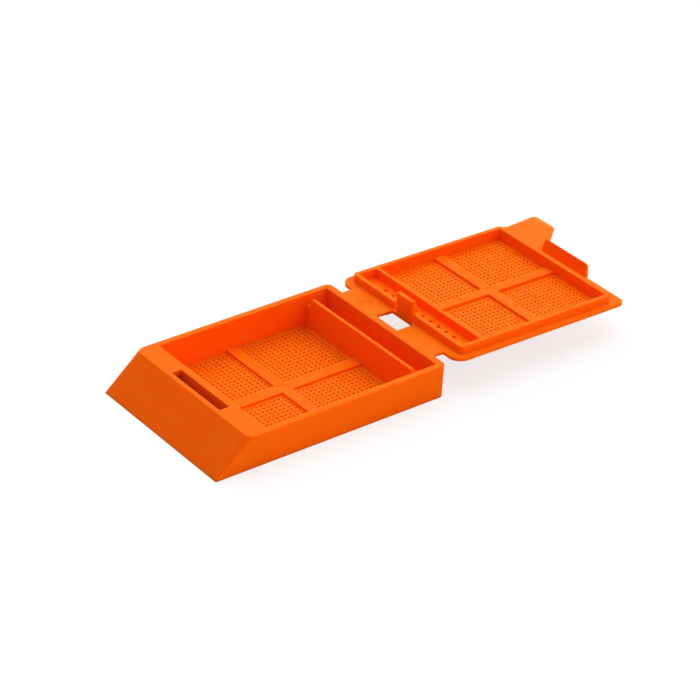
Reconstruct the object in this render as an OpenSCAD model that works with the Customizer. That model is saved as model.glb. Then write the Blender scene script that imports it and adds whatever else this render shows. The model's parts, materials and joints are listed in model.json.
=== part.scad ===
// Tissue cassette for a biology laboratory: a perforated tray with a slanted
// writing face, and a perforated lid moulded in one shot with it on a thin web.
// Millimetres, +Z up. The tray stands on z = 0, its front bottom edge lies on
// y = 0, and the lid is opened flat behind it, towards +Y. x = 0 is the middle.

/* [Show] */
// Sub-part to build

/* [Tray] */
// Width over the side rims
tray_w = 28.5; // [28:0.1:30]
// Length from the front bottom edge to the rear face
tray_l = 40.1; // [40:0.1:42]
// Height of the rim
tray_h = 5.35; // [5.2:0.05:6]
// Set-back of the slanted writing face at the rim
slope_run = 5.45; // [5:0.05:5.8]
// Thickness of the side rims
rim_t = 0.98; // [0.8:0.02:1.1]
// Thickness of the rear wall
rear_t = 1.1; // [1.04:0.02:1.14]
// Draft of each outer side over the full height
draft = 0.19; // [0.05:0.01:0.3]
// Height of the partition in front of the rear compartment
partition_h = 5; // [4.5:0.1:5.1]

/* [Latch slot] */
// Width of the slot in the front ledge
slot_w = 12; // [11.4:0.1:13]
// Front edge of the slot
slot_y = 6.15; // [6.05:0.05:6.3]
// Slot opening, front to back
slot_t = 1.65; // [1.6:0.05:1.7]

/* [Perforation] */
// Diameter of each mesh hole
hole_d = 0.42; // [0.3:0.02:0.5]
// Spacing of the tray holes across the part
tray_pitch = 0.8; // [0.78:0.01:0.82]
// Spacing of the lid holes across the part
lid_pitch = 0.81; // [0.78:0.01:0.82]
// Spacing of the rows of holes along the part
row_pitch = 0.785; // [0.76:0.005:0.79]
// Thickness of the perforated skin
skin_t = 0.34; // [0.3:0.01:0.4]

/* [Lid] */
// Width of the lid flange
lid_w = 28.4; // [28:0.05:28.45]
// Thickness of the lid flange
flange_t = 0.5; // [0.4:0.02:0.55]
// Height of the seating rim over the flange
lid_rim_h = 1.21; // [1:0.05:1.3]
// Height of the snap hook over the flange
hook_h = 3.3; // [3:0.1:3.7]
// Height of the latch flap over the flange
flap_h = 1.7; // [1.6:0.05:2.1]
// Droop of the opened lid on its web, degrees
lid_droop = 1; // [0:0.25:2]

/* [Hinge] */
// Half the width of the web
web_half = 11; // [10:0.1:11.5]
// Thickness of the web
web_t = 0.42; // [0.3:0.02:0.46]
// Distance of the fold line behind the tray
fold_gap = 0.95; // [0.9:0.01:1]

/* [Hidden] */
body_colour = [0.98, 0.42, 0.04];
$fn = 48;
eps = 0.01;

// Fold line of the web: the lid turns about it.
fold_y = tray_l + fold_gap;
fold_z = tray_h - 0.005;

// Tray
half_w = tray_w / 2;
in_half = half_w - rim_t;
in_front = 8.8;
in_rear = tray_l - rear_t;
slope_angle = atan(tray_h / slope_run);
block_wall = 1;
cross_z = 0.7;
part_front = 34.9;

// Perforated fields of the tray
tray_col0 = 1.83;
tray_cols = 14;
tray_rear_row0 = 22.95;
tray_rear_rows = 15;
tray_front_row0 = 20.1;
tray_front_rows = 13;
bar_half = 1.03;
bar_y0 = 20.6;
bar_y1 = 22.45;

// Lid, measured from the fold line: y grows away from the tray, z is up
flange_top = -0.055;
flange_low = flange_top - flange_t;
floor_top = -0.295;
skin_top = -0.745;
pan_low = skin_top - 0.3;
rim_top = flange_top + lid_rim_h;
lid_y0 = 1.05;
lid_y1 = 33.5;
tab_y = 40.35;
pan_half = 13.1;
pan_y0 = 2.6;
pan_y1 = 31.5;
lid_rim_t = 0.68;
wall_y = 6.55;
wall_t = 0.55;
field_half = pan_half - lid_rim_t;
lid_col0 = 1.84;
lid_cols = 13;
lid_rear_row0 = 16.9;
lid_front_row0 = 20.4;
lid_rows = 13;
lid_bar_half = 0.85;
lid_bar_y0 = 17.8;
lid_bar_y1 = 19.65;
drain_d = 0.7;
drain_pitch = 1.82;
drain_y = 5.15;
window_x0 = -2.62;
window_x1 = 2.45;
window_y1 = 2.38;
hook_x0 = -2.05;
hook_x1 = 1.6;
hook_y = window_y1;
hook_t = 0.6;
gap_x0 = -2.95;
gap_x1 = 2.1;

// Extrudes a side profile, given as [y, z], across the part.
module across(x0, x1) {
    translate([x0, 0, 0])
        rotate([90, 0, 90])
            linear_extrude(x1 - x0)
                children();
}

// Extrudes a front profile, given as [x, z], along the part.
module along(y0, y1) {
    translate([0, y1, 0])
        rotate([90, 0, 0])
            linear_extrude(y1 - y0)
                children();
}

// Flat rectangle between two corners.
module rect(x0, y0, x1, y1) {
    translate([x0, y0])
        square([x1 - x0, y1 - y0]);
}

// Both mirror images of a child, left and right.
module both_sides() {
    children();
    mirror([1, 0, 0])
        children();
}

// Rows and columns of mesh holes, starting at the corner nearest the cross.
module hole_field(x0, dx, nx, y0, dy, ny) {
    for (i = [0 : nx - 1])
        for (j = [0 : ny - 1])
            translate([x0 + i * dx, y0 + j * dy])
                circle(d = hole_d, $fn = 16);
}

// Corner post whose axis leans from one point on the ground to one at the rim.
module leaning_post(x0, y0, r0, x1, y1, r1) {
    h = tray_h;
    multmatrix([[1, 0, (x1 - x0) / h, x0],
                [0, 1, (y1 - y0) / h, y0],
                [0, 0, 1, 0],
                [0, 0, 0, 1]])
        cylinder(h = h, r1 = r0, r2 = r1, $fn = 32);
}

// Outer form: drafted sides, rounded rear corners, and front corners that are
// sharp at the foot of the writing face and rounded where it meets the ledge.
module tray_shell() {
    rear_r = 0.9;
    front_r = 1.3;
    foot = half_w - draft;
    hull()
        both_sides() {
            leaning_post(foot - 0.02, 0.02, 0.02,
                         half_w - front_r, slope_run + front_r, front_r);
            leaning_post(foot - rear_r, tray_l - rear_r, rear_r,
                         half_w - rear_r, tray_l - rear_r, rear_r);
        }
}

// Inside of the tray, open at the top and narrowing a little downwards.
module tray_cavity() {
    top = tray_h + 1;
    low = -1;
    intersection() {
        across(-half_w, half_w)
            polygon([[in_front + 0.2, low], [in_front - 0.04, top],
                     [in_rear, top], [in_rear, low]]);
        along(0, tray_l)
            polygon([[-in_half + 0.15, low], [in_half - 0.15, low],
                     [in_half + 0.02, top], [-in_half - 0.02, top]]);
    }
}

// Hollow under the writing face and the ledge, open at the bottom.
module front_hollow() {
    set_back = block_wall / sin(slope_angle);
    top = tray_h - block_wall;
    low = -1;
    slope = slope_run / tray_h;
    across(-in_half + 0.15, in_half - 0.15)
        polygon([[set_back + low * slope, low], [set_back + top * slope, top],
                 [slot_y + slot_t, top], [slot_y + slot_t + 0.12, low]]);
}

// Slot through the ledge that the latch flap of the lid snaps into.
module latch_slot() {
    translate([-slot_w / 2, slot_y, tray_h - block_wall - 0.3])
        cube([slot_w, slot_t, block_wall + 1]);
}

// Perforated floor skin. Its edges run into the walls.
module tray_skin() {
    linear_extrude(skin_t)
        difference() {
            rect(-in_half - 0.3, in_front - 0.4, in_half + 0.3, in_rear + 0.4);
            both_sides() {
                hole_field(tray_col0, tray_pitch, tray_cols,
                           tray_rear_row0, row_pitch, tray_rear_rows);
                hole_field(tray_col0, tray_pitch, tray_cols,
                           tray_front_row0, -row_pitch, tray_front_rows);
            }
        }
}

// Raised cross that stiffens the floor, with the marks of the ejector pins,
// and the thicker floor of the rear compartment.
module tray_cross() {
    low = skin_t / 2;
    difference() {
        translate([0, 0, low])
            linear_extrude(cross_z - low) {
                rect(-bar_half, in_front - 0.3, bar_half, part_front + 0.3);
                rect(-in_half - 0.2, bar_y0, in_half + 0.2, bar_y1);
                rect(-in_half - 0.2, part_front + 0.2, in_half + 0.2, in_rear + 0.3);
            }
        for (x = [-5.35, 0, 5.35])
            translate([x, (bar_y0 + bar_y1) / 2, cross_z - 0.05])
                cylinder(h = 1, d = 1.5);
    }
}

// Tapered partition. Its top is cut back at both ends, where the side rims of
// the closed lid pass over the low shoulders.
module partition() {
    shoulder_z = 3.6;
    top_half = 12.25;
    end_r = 0.45;
    intersection() {
        across(-half_w, half_w)
            polygon([[part_front, low_z()], [part_front + 0.45, partition_h],
                     [part_front + 0.95, partition_h], [part_front + 1.2, low_z()]]);
        along(part_front - 1, part_front + 3)
            union() {
                rect(-in_half - 0.3, 0, in_half + 0.3, shoulder_z);
                rect(-top_half, 0, top_half, partition_h - end_r);
                rect(-top_half + end_r, 0, top_half - end_r, partition_h + 1);
                both_sides()
                    translate([top_half - end_r, partition_h - end_r])
                        circle(r = end_r);
            }
    }
}
function low_z() = skin_t / 2;

module base_tray() {
    color(body_colour) {
        difference() {
            tray_shell();
            tray_cavity();
            front_hollow();
            latch_slot();
        }
        tray_skin();
        tray_cross();
        partition();
    }
}

// Thin web that bends when the lid closes. The window for the snap hook
// divides it into a left and a right strip. The left one has an ejector mark.
module hinge_web() {
    top = fold_z + flange_top;
    far = fold_y + lid_y0 - 0.03;
    color(body_colour)
        difference() {
            translate([0, 0, top - web_t])
                linear_extrude(web_t)
                    difference() {
                        rect(-web_half, tray_l, web_half, far);
                        rect(window_x0, tray_l - 1, window_x1, far + 1);
                    }
            translate([-6.2, (tray_l + far) / 2, top - 0.03])
                cylinder(h = 1, d = 1.4);
        }
}

// Outline of the lid flange: a plate with rounded corners.
module flange_outline() {
    w = lid_w / 2;
    lobe_r = 2;
    far_r = 1.2;
    rect(-w + lobe_r, lid_y0, w - lobe_r, lid_y1);
    rect(-w, lid_y0 + lobe_r, w, lid_y1 - far_r);
    rect(-w, lid_y1 - 5, w - far_r, lid_y1);
    both_sides()
        translate([w - lobe_r, lid_y0 + lobe_r])
            circle(r = lobe_r);
    translate([w - far_r, lid_y1 - far_r])
        circle(r = far_r);
}

// Finger tab that stands out at the left of the far edge. Its free edges are
// bevelled broadly on the inner face, most of all round the two corners.
module finger_tab() {
    w = lid_w / 2;
    bevel_h = 0.38;
    translate([0, 0, flange_low])
        hull() {
            linear_extrude(flange_t - bevel_h) {
                rect(-w, lid_y1 - 0.6, -4.3, lid_y1);
                disc(-w, tab_y - 0.8, 0.8);
                disc(-10.8, tab_y - 1.3, 1.3);
            }
            linear_extrude(flange_t) {
                rect(-w + 0.3, lid_y1 - 0.6, -4.7, lid_y1);
                disc(-12.7, tab_y - 2.1, 0.9);
                disc(-11.9, tab_y - 1.9, 0.6);
                disc(-7.8, tab_y - 4.25, 0.2);
            }
        }
}

// Flat round, by its middle and radius.
module disc(x, y, r) {
    translate([x, y])
        circle(r = r, $fn = 32);
}

// Rectangle of the pan, a margin inside its outer face.
module pan_rect(inset) {
    rect(-pan_half + inset, pan_y0 + inset, pan_half - inset, pan_y1 - inset);
}

// Rectangle between two corners, with rounded corners.
module round_rect(x0, y0, x1, y1, r) {
    rect(x0 + r, y0, x1 - r, y1);
    rect(x0, y0 + r, x1, y1 - r);
    for (x = [x0 + r, x1 - r])
        for (y = [y0 + r, y1 - r])
            disc(x, y, r);
}

// Flange around the pan.
module lid_flange() {
    translate([0, 0, flange_low])
        linear_extrude(flange_t)
            difference() {
                flange_outline();
                pan_rect(lid_rim_t / 2);
                rect(window_x0, lid_y0 - 1, window_x1, window_y1);
            }
}

// Perforated skin of the lid.
module lid_skin() {
    translate([0, 0, pan_low])
        linear_extrude(skin_top - pan_low)
            difference() {
                round_rect(-pan_half + 0.12, pan_y0 + 0.12,
                           pan_half - 0.12, pan_y1 - 0.12, 0.5);
                both_sides() {
                    hole_field(lid_col0, lid_pitch, lid_cols,
                               lid_rear_row0, -row_pitch * 0.99, lid_rows);
                    hole_field(lid_col0, lid_pitch, lid_cols,
                               lid_front_row0, row_pitch * 0.99, lid_rows);
                }
                drain_row();
            }
}

// Row of larger drain holes between the two transverse walls.
module drain_row() {
    for (i = [-5 : 4])
        translate([(i + 0.5) * drain_pitch, drain_y])
            circle(d = drain_d);
}

// Frame and cross that stand over the skin, with the ejector pin marks.
module lid_cross() {
    low = (skin_top + pan_low) / 2;
    far = pan_y1 - lid_rim_t;
    difference() {
        translate([0, 0, low])
            linear_extrude(floor_top - low)
                difference() {
                    pan_rect(lid_rim_t / 2);
                    both_sides() {
                        rect(lid_bar_half, wall_y + wall_t, field_half, lid_bar_y0);
                        rect(lid_bar_half, lid_bar_y1, field_half, far);
                    }
                    drain_row();
                }
        for (p = [[0, 12.65], [0, 24.8], [0, 18.7], [-6.3, 18.7], [6.3, 18.7]])
            translate([p.x, p.y, floor_top - 0.05])
                cylinder(h = 1, d = 1.5);
    }
}

// Seating rim, interrupted beside the snap hook, and the second wall.
module lid_rim() {
    low = skin_top;
    translate([0, 0, low])
        linear_extrude(rim_top - low)
            difference() {
                round_rect(-pan_half, pan_y0, pan_half, pan_y1, 0.6);
                round_rect(-field_half, pan_y0 + lid_rim_t, field_half, wall_y, 0.3);
                round_rect(-field_half, wall_y + wall_t,
                           field_half, pan_y1 - lid_rim_t, 0.3);
            }
}

// Snap hook: a stiff blade with rounded corners and a barb towards the tray.
module snap_hook() {
    top = flange_top + hook_h;
    barb = 0.18;
    front = hook_y - barb;
    back = hook_y + hook_t;
    intersection() {
        across(hook_x0, hook_x1)
            polygon([[hook_y, flange_low], [hook_y, top - 1.3],
                     [front, top - 1.1], [front, top - 0.9],
                     [front + 0.06, top - 0.08], [front + 0.14, top],
                     [back, top], [back + 0.1, top - 1.2], [back + 0.1, flange_low]]);
        translate([0, 0, flange_low - 1])
            linear_extrude(hook_h + 3) {
                rect(hook_x0 + 0.3, front, hook_x1 - 0.55, back + 0.2);
                rect(hook_x0, front + 0.3, hook_x0 + 1, back + 0.2);
                rect(hook_x1 - 1, front + 0.55, hook_x1, back + 0.2);
                disc(hook_x0 + 0.3, front + 0.3, 0.3);
                disc(hook_x1 - 0.55, front + 0.55, 0.55);
            }
    }
}

// Latch flap at the far edge: it leans out and has a wedge tip. Its left end is
// upright beside the finger tab, and its right end slopes and is rounded.
module latch_flap() {
    top = flange_top + flap_h;
    foot = lid_y1 - 0.2;
    left = -5.3;
    right = 5.15;
    tip_x1 = 4.55;
    tip_r = 0.5;
    intersection() {
        across(left - 1, right + 1)
            polygon([[foot, flange_low], [lid_y1 + 0.1, flange_low],
                     [lid_y1 + 0.25, flange_low + 0.15], [lid_y1 + 0.86, top - 0.4],
                     [lid_y1 + 0.74, top], [lid_y1 + 0.62, top], [foot, flange_top]]);
        along(lid_y1 - 1, lid_y1 + 3)
            union() {
                polygon([[left, flange_low - 1], [right, flange_low - 1],
                         [right, flange_top], [tip_x1, top - tip_r],
                         [tip_x1 - tip_r, top], [left, top]]);
                disc(tip_x1 - tip_r, top - tip_r, tip_r);
            }
    }
}

// Gap in the rear rim beside the hook. The end of the rim is rounded over.
module rim_gap() {
    r = 0.45;
    t = lid_rim_t + 0.3;
    translate([gap_x0, pan_y0 - 0.2, floor_top])
        cube([gap_x1 - gap_x0, t, 3]);
    translate([gap_x0 - r, pan_y0 - 0.2, rim_top - r])
        difference() {
            cube([r + eps, t, r + 1]);
            rotate([-90, 0, 0])
                cylinder(h = 3 * t, r = r, center = true);
        }
}

module lid() {
    color(body_colour)
        translate([0, fold_y, fold_z])
            rotate([-lid_droop, 0, 0]) {
                difference() {
                    union() {
                        lid_flange();
                        finger_tab();
                        lid_skin();
                        lid_cross();
                        lid_rim();
                    }
                    rim_gap();
                }
                snap_hook();
                latch_flap();
            }
}

base_tray();
hinge_web();
lid();
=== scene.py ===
"""Looks of the tissue cassette: orange moulded plastic on a plain white floor."""
import json
import math

import bmesh
import bpy
from mathutils import Matrix, Vector


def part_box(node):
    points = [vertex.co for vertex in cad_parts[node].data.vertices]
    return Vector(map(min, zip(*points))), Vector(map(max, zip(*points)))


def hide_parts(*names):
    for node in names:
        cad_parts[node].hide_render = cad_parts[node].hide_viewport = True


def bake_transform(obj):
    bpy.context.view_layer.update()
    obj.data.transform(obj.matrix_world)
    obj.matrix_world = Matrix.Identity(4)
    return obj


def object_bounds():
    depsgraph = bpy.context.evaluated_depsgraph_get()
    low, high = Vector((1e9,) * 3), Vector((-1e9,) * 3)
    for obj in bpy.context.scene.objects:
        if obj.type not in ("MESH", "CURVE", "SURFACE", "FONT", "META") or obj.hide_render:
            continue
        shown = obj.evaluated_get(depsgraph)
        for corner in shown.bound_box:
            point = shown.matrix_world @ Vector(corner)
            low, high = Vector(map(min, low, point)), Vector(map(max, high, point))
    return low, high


MM = 0.001                              # in metres, the unit of the frame

# Plastic. Colours are linear, and noise scales are in cells per metre.
ORANGE_DEEP = (0.97, 0.123, 0.002, 1)
ORANGE_LIGHT = (0.98, 0.136, 0.003, 1)
ORANGE_PAINTED_RING_SHADE = (0.94, 0.07, 0.001, 1)    # painted shade along the rim of the ejector pin mark
REFRACTION = 1.48
MIRROR_LEVEL = 0.012                    # strength of the mirror reflection
GLOW_RADIUS = (0.6, 0.25, 0.06)         # reach of red, green and blue below the surface
GLOW_SCALE = 1.0 * MM
ROUGHNESS = (0.40, 0.50)
EDGE_ROUND = 0.12 * MM                  # softening of the moulded edges
EDGE_SAMPLES = 6
FLOW_SCALE = 90
FLOW_STRETCH = (1, 0.35, 1)             # longer along the part
PATCH_SCALE = 420
PATCH_STRENGTH = 0.25
PATCH_DEPTH = 0.02 * MM
GRAIN_SCALE = 5200
GRAIN_STRENGTH = 0.35
GRAIN_DEPTH = 0.012 * MM

# Slanted writing face, darkened with painted shade
WRITING_TILT = math.radians(44.5)
WRITING_PAINTED_SHADE = 0.87                     # painted shade: its brightness against the rest of the plastic
WRITING_START = 0.75                    # cosine of the angle to the face where the painted shade starts
WRITING_FULL = 0.95                     # and where it is full

# Hinge web
WINDOW_LEFT = -2.62 * MM                # edges of the window for the snap hook
WINDOW_RIGHT = 2.45 * MM
INTO_TRAY = 0.1 * MM                    # how far the strips run past the CAD web, into the tray
INTO_LID = 0.06 * MM                    # and into the lid
GROOVE = 0.20 * MM                      # radius of the groove under the fold
GROOVE_STEPS = 6                        # facets on each side of the groove
BEND = 0.02 * MM                        # half the width of the wall that bends, over the groove
ROOT = 0.16 * MM                        # half its width at the web's flat top

# Ejector pin mark on the left part of the web: a shallow recess, with a painted shade line round it
PIN_X = -6.2 * MM
PIN_RADIUS = 0.90 * MM
PIN_DEPTH = 0.05 * MM
PIN_SIDES = 64
PIN_SHADE_WIDTH = 0.15 * MM                    # how far the painted shade line fades out on each side of the ring
PIN_STRETCH = (1, 1, 4)                 # makes the painted shade fade sooner above and below the ring

# Floor and light
FLOOR_SIZE = 6
FLOOR_GAP = 0.02 * MM                   # keeps the floor clear of the tray's underside
FLOOR_WHITE = 0.75                      # share of plain white in the floor as the camera sees it
PAPER_GREY = (0.84, 0.86)
PAPER_SCALE = 3
AMBIENT = 0.42                          # light from all round, where 1 is plain white
LAMPS = (                               # name, strength, size in degrees, direction to the lamp
    ("key", 2.92, 80, (-0.45, 0.40, 0.80)),
    ("fill", 0.8, 50, (0.75, 0.40, 0.47)),
)

# Camera, on the front right of the tray
AZIMUTH = math.radians(52.09)           # to the right, from straight in front
ELEVATION = math.radians(31.0)
ROLL = math.radians(2.05)
AIM = Vector((-3.9, 36.5, 0)) * MM
DISTANCE = 417 * MM
LENS = 144.5                            # this and the sensor's width are in millimetres
SENSOR = 36

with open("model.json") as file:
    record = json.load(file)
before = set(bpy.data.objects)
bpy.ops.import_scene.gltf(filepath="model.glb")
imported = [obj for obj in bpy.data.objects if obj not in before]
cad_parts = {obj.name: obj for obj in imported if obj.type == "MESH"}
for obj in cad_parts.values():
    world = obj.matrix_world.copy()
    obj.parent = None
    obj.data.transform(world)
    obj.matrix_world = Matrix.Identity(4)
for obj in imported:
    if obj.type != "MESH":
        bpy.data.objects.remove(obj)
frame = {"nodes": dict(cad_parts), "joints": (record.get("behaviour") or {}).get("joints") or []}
cad_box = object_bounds()
scene = bpy.context.scene


# ---------------------------------------------------------------- shader nodes
def new_material(name):
    mat = bpy.data.materials.new(name)
    mat.use_nodes = True
    tree = mat.node_tree
    tree.nodes.clear()
    out = tree.nodes.new("ShaderNodeOutputMaterial")
    return mat, tree, out


def node(tree, kind, **inputs):
    made = tree.nodes.new(kind)
    for key, value in inputs.items():
        made.inputs[key.replace("_", " ")].default_value = value
    return made


def noise(tree, coords, scale, detail=2.0, rough=0.5, stretch=(1, 1, 1)):
    mapping = node(tree, "ShaderNodeMapping", Scale=stretch)
    tree.links.new(coords, mapping.inputs["Vector"])
    made = node(tree, "ShaderNodeTexNoise", Scale=scale, Detail=detail, Roughness=rough)
    tree.links.new(mapping.outputs["Vector"], made.inputs["Vector"])
    return made.outputs["Fac"]


def ramp(tree, fac, low, high, start=0.3, stop=0.7):
    made = tree.nodes.new("ShaderNodeValToRGB")
    made.color_ramp.elements[0].position = start
    made.color_ramp.elements[0].color = low
    made.color_ramp.elements[1].position = stop
    made.color_ramp.elements[1].color = high
    tree.links.new(fac, made.inputs["Fac"])
    return made.outputs["Color"]


def grey(level):
    return (level, level, level, 1)


def maths(tree, operation, value, by=0):
    step = tree.nodes.new("ShaderNodeMath")
    step.operation = operation
    tree.links.new(value, step.inputs[0])
    step.inputs[1].default_value = by
    return step.outputs["Value"]


def vector_maths(tree, operation, value, by=(0, 0, 0), result="Vector"):
    step = tree.nodes.new("ShaderNodeVectorMath")
    step.operation = operation
    tree.links.new(value, step.inputs[0])
    step.inputs[1].default_value = by
    return step.outputs[result]


def fade(tree, value, start, stop, before, after, shape="LINEAR"):
    """One number up to start, another from stop on, and a fade between them."""
    made = node(tree, "ShaderNodeMapRange",
                From_Min=start, From_Max=stop, To_Min=before, To_Max=after)
    made.interpolation_type = shape
    tree.links.new(value, made.inputs["Value"])
    return made.outputs["Result"]


def bump(tree, height, strength, distance, normal):
    made = node(tree, "ShaderNodeBump", Strength=strength, Distance=distance)
    tree.links.new(height, made.inputs["Height"])
    tree.links.new(normal, made.inputs["Normal"])
    return made.outputs["Normal"]


def mix_shaders(tree, first, second):
    """A mix whose share of the second shader is still to be set or linked."""
    mix = tree.nodes.new("ShaderNodeMixShader")
    tree.links.new(first, mix.inputs[1])
    tree.links.new(second, mix.inputs[2])
    return mix


def background_rays(tree):
    """1 for rays that show the background: from the camera, mirrored or through glass."""
    path = tree.nodes.new("ShaderNodeLightPath")
    total = path.outputs["Is Camera Ray"]
    for kind in ("Is Glossy Ray", "Is Transmission Ray"):
        either = tree.nodes.new("ShaderNodeMath")
        either.operation = "MAXIMUM"
        tree.links.new(total, either.inputs[0])
        tree.links.new(path.outputs[kind], either.inputs[1])
        total = either.outputs["Value"]
    return total


# ---------------------------------------------------------------- plastic
def writing_face_painted_shade(tree, colour):
    """The colour, a little darker on the slanted writing face: painted shade."""
    normal = tree.nodes.new("ShaderNodeTexCoord").outputs["Normal"]
    slant = (0, -math.sin(WRITING_TILT), math.cos(WRITING_TILT))
    facing = vector_maths(tree, "DOT_PRODUCT", normal, slant, result="Value")
    # painted shade: faces that point the way of the slanted writing face are darkened
    painted_shade = fade(tree, facing, WRITING_START, WRITING_FULL, 1, WRITING_PAINTED_SHADE)
    shaded_colour = tree.nodes.new("ShaderNodeHueSaturation")
    tree.links.new(painted_shade, shaded_colour.inputs["Value"])
    tree.links.new(colour, shaded_colour.inputs["Color"])
    return shaded_colour.outputs["Color"]


def painted_ring_shade(tree, coords, centre):
    """1 on the painted shade ring round the pin mark and 0 away from it."""
    offset = vector_maths(tree, "SUBTRACT", coords, centre)
    offset = vector_maths(tree, "MULTIPLY", offset, PIN_STRETCH)
    distance = vector_maths(tree, "LENGTH", offset, result="Value")
    away = maths(tree, "ABSOLUTE", maths(tree, "SUBTRACT", distance, PIN_RADIUS))
    return fade(tree, away, 0, PIN_SHADE_WIDTH, 1, 0, shape="SMOOTHSTEP")


def plastic_colour(tree, coords, pin_mark):
    """Orange with faint flow shading, painted shade on the slanted writing face and a painted shade
    line round the pin mark.
    """
    flow = noise(tree, coords, FLOW_SCALE, detail=3, stretch=FLOW_STRETCH)
    colour = writing_face_painted_shade(tree, ramp(tree, flow, ORANGE_DEEP, ORANGE_LIGHT))
    # painted shade: the ring round the pin mark is darkened to stand for the shading of the
    # recess's rim
    ring_shaded = tree.nodes.new("ShaderNodeMix")
    ring_shaded.data_type = "RGBA"
    ring_shaded.inputs["B"].default_value = ORANGE_PAINTED_RING_SHADE
    tree.links.new(painted_ring_shade(tree, coords, pin_mark), ring_shaded.inputs["Factor"])
    tree.links.new(colour, ring_shaded.inputs["A"])
    return ring_shaded.outputs["Result"]


def plastic_normal(tree, grain, patch):
    """Softened edges under a fine grain and shallow patches."""
    edge = tree.nodes.new("ShaderNodeBevel")
    edge.samples = EDGE_SAMPLES
    edge.inputs["Radius"].default_value = EDGE_ROUND
    normal = bump(tree, grain, GRAIN_STRENGTH, GRAIN_DEPTH, edge.outputs["Normal"])
    return bump(tree, patch, PATCH_STRENGTH, PATCH_DEPTH, normal)


def moulded_plastic(pin_mark):
    """Satin orange acetal, with some glow through thin walls."""
    mat, tree, out = new_material("orange_acetal")
    shader = tree.nodes.new("ShaderNodeBsdfPrincipled")
    shader.inputs["IOR"].default_value = REFRACTION
    shader.inputs["Specular IOR Level"].default_value = MIRROR_LEVEL
    shader.inputs["Subsurface Weight"].default_value = 1.0
    shader.inputs["Subsurface Radius"].default_value = GLOW_RADIUS
    shader.inputs["Subsurface Scale"].default_value = GLOW_SCALE

    coords = tree.nodes.new("ShaderNodeTexCoord").outputs["Object"]
    grain = noise(tree, coords, GRAIN_SCALE, detail=3, rough=0.6)
    patch = noise(tree, coords, PATCH_SCALE)
    smooth, rough = map(grey, ROUGHNESS)
    tree.links.new(plastic_colour(tree, coords, pin_mark), shader.inputs["Base Color"])
    tree.links.new(ramp(tree, patch, smooth, rough), shader.inputs["Roughness"])
    tree.links.new(plastic_normal(tree, grain, patch), shader.inputs["Normal"])
    tree.links.new(shader.outputs["BSDF"], out.inputs["Surface"])
    return mat


web_low, web_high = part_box("hinge_web")
pin_mark = (PIN_X, (web_low.y + web_high.y) / 2, web_high.z)
plastic = moulded_plastic(pin_mark)
for name in ("base_tray", "lid"):
    cad = frame["nodes"][name]
    cad.data.materials.clear()
    cad.data.materials.append(plastic)


# ---------------------------------------------------------------- hinge web The strips
# are stiff but for the thin wall over the groove.
def half_outline(side, edge, fold):
    """Side view of the half on one side of the fold: (y, z) from its outer edge to the fold."""
    outline = [(edge, web_high.z), (edge, web_low.z)]
    for i in range(GROOVE_STEPS + 1):
        turn = i / GROOVE_STEPS * math.pi / 2
        reach = BEND + GROOVE * (1 - math.sin(turn))
        outline.append((fold + side * reach, web_low.z + GROOVE * (1 - math.cos(turn))))
    outline.append((fold + side * ROOT, web_high.z))
    return outline


def add_half(bm, outline, x0, x1):
    """Adds one half, open towards the fold, and returns the corners of its two ends."""
    left, right = [[bm.verts.new((x, y, z)) for y, z in outline] for x in (x0, x1)]
    bm.faces.new(left)
    bm.faces.new(right)
    for i in range(-1, len(outline) - 2):
        bm.faces.new((left[i], left[i + 1], right[i + 1], right[i]))
    return left, right


def web_strip(name, x0, x1, y0, y1, fold):
    """A strip of web: two halves, joined across the fold by a thin wall over a rounded groove."""
    bm = bmesh.new()
    near_left, near_right = add_half(bm, half_outline(-1, y0, fold), x0, x1)
    far_left, far_right = add_half(bm, half_outline(1, y1, fold), x0, x1)
    for near, far in ((near_left, far_left), (near_right, far_right)):
        bm.faces.new((near[-2], near[-1], far[-1], far[-2]))
    for i in (-2, -1):
        bm.faces.new((near_left[i], far_left[i], far_right[i], near_right[i]))
    bmesh.ops.recalc_face_normals(bm, faces=bm.faces)
    mesh = bpy.data.meshes.new(name)
    bm.to_mesh(mesh)
    bm.free()
    strip = bpy.data.objects.new(name, mesh)
    scene.collection.objects.link(strip)
    return strip


def press_mark(strip, place):
    """The shallow round recess that an ejector pin leaves in the strip's top."""
    bpy.ops.mesh.primitive_cylinder_add(vertices=PIN_SIDES, radius=PIN_RADIUS,
                                        depth=2 * PIN_DEPTH, location=place)
    pin = bpy.context.object
    cut = strip.modifiers.new("pin_mark", "BOOLEAN")
    cut.operation = "DIFFERENCE"
    cut.object = pin
    bpy.context.view_layer.objects.active = strip
    bpy.ops.object.modifier_apply(modifier=cut.name)
    bpy.data.objects.remove(pin)


fold_y = frame["joints"][0]["pos_m"][1]
for name, x0, x1 in (("web_left", web_low.x, WINDOW_LEFT), ("web_right", WINDOW_RIGHT, web_high.x)):
    strip = web_strip(name, x0, x1, web_low.y - INTO_TRAY, web_high.y + INTO_LID, fold_y)
    strip.data.materials.append(plastic)
    if x0 < PIN_X < x1:
        press_mark(strip, pin_mark)
    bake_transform(strip)
    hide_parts("hinge_web")


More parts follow.
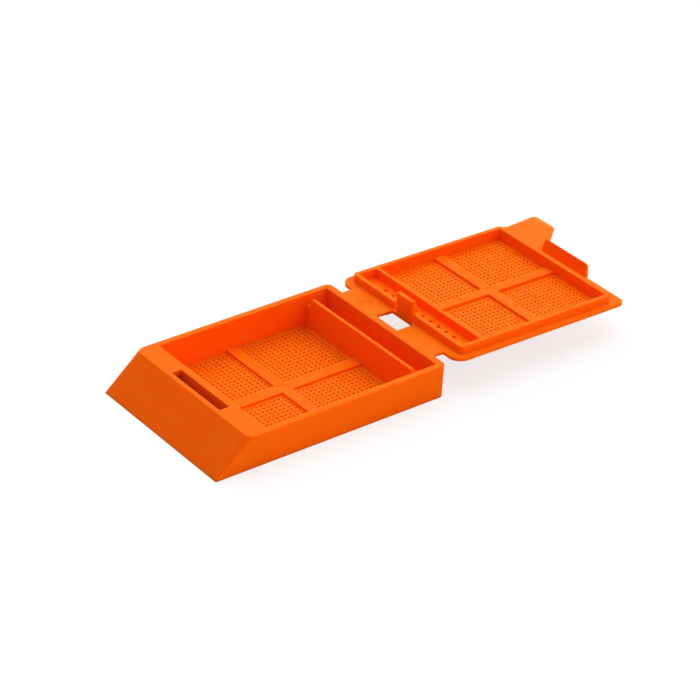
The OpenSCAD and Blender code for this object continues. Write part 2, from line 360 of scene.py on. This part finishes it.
# ---------------------------------------------------------------- floor and light
def floor_material():
    """White floor that keeps a faint shadow: camera and mirror rays see mostly plain white."""
    mat, tree, out = new_material("floor_white")
    coords = tree.nodes.new("ShaderNodeTexCoord").outputs["Object"]
    dark, light = map(grey, PAPER_GREY)
    colour = ramp(tree, noise(tree, coords, PAPER_SCALE), dark, light)
    paper = node(tree, "ShaderNodeBsdfPrincipled", Roughness=0.9, Specular_IOR_Level=0.0)
    tree.links.new(colour, paper.inputs["Base Color"])
    plain = node(tree, "ShaderNodeEmission", Strength=1.0)
    seen = mix_shaders(tree, paper.outputs["BSDF"], plain.outputs["Emission"])
    seen.inputs["Fac"].default_value = FLOOR_WHITE
    mix = mix_shaders(tree, paper.outputs["BSDF"], seen.outputs["Shader"])
    tree.links.new(background_rays(tree), mix.inputs["Fac"])
    tree.links.new(mix.outputs["Shader"], out.inputs["Surface"])
    return mat


def light_world():
    """Soft light from all round, with a plain white sky for the rays that show it."""
    scene.world = bpy.data.worlds.new("studio")
    scene.world.use_nodes = True
    tree = scene.world.node_tree
    tree.nodes.clear()
    out = tree.nodes.new("ShaderNodeOutputWorld")
    ambient = node(tree, "ShaderNodeBackground", Color=(1, 1, 1, 1), Strength=AMBIENT)
    seen = node(tree, "ShaderNodeBackground", Color=(1, 1, 1, 1), Strength=1.0)
    mix = mix_shaders(tree, ambient.outputs["Background"], seen.outputs["Background"])
    tree.links.new(background_rays(tree), mix.inputs["Fac"])
    tree.links.new(mix.outputs["Shader"], out.inputs["Surface"])


def add_lamp(name, strength, size, toward):
    lamp_data = bpy.data.lights.new(name, "SUN")
    lamp_data.energy = strength
    lamp_data.angle = math.radians(size)
    lamp = bpy.data.objects.new(name, lamp_data)
    scene.collection.objects.link(lamp)
    lamp.rotation_euler = Vector(toward).to_track_quat("Z", "Y").to_euler()


bpy.ops.mesh.primitive_plane_add(size=FLOOR_SIZE, location=(0, 0, cad_box[0].z - FLOOR_GAP))
floor = bpy.context.object
floor.name = "floor"
floor.data.materials.append(floor_material())
light_world()
for lamp in LAMPS:
    add_lamp(*lamp)


# ---------------------------------------------------------------- camera
def camera_matrix():
    """Looks at AIM from DISTANCE away, turned about its own view line by ROLL."""
    back = Vector((math.sin(AZIMUTH) * math.cos(ELEVATION),
                   -math.cos(AZIMUTH) * math.cos(ELEVATION), math.sin(ELEVATION)))
    right = (-back).cross(Vector((0, 0, 1))).normalized()
    up = right.cross(-back)
    turned_right = right * math.cos(ROLL) + up * math.sin(ROLL)
    turned_up = up * math.cos(ROLL) - right * math.sin(ROLL)
    turn = Matrix((turned_right, turned_up, back)).transposed()
    return Matrix.Translation(AIM + back * DISTANCE) @ turn.to_4x4()


camera_data = bpy.data.cameras.new("camera")
camera_data.sensor_width = SENSOR
camera_data.lens = LENS
camera_data.clip_start = 0.01
camera_data.clip_end = 20
camera = bpy.data.objects.new("camera", camera_data)
scene.collection.objects.link(camera)
camera.matrix_world = camera_matrix()
scene.camera = camera
scene.view_settings.view_transform = "Standard"
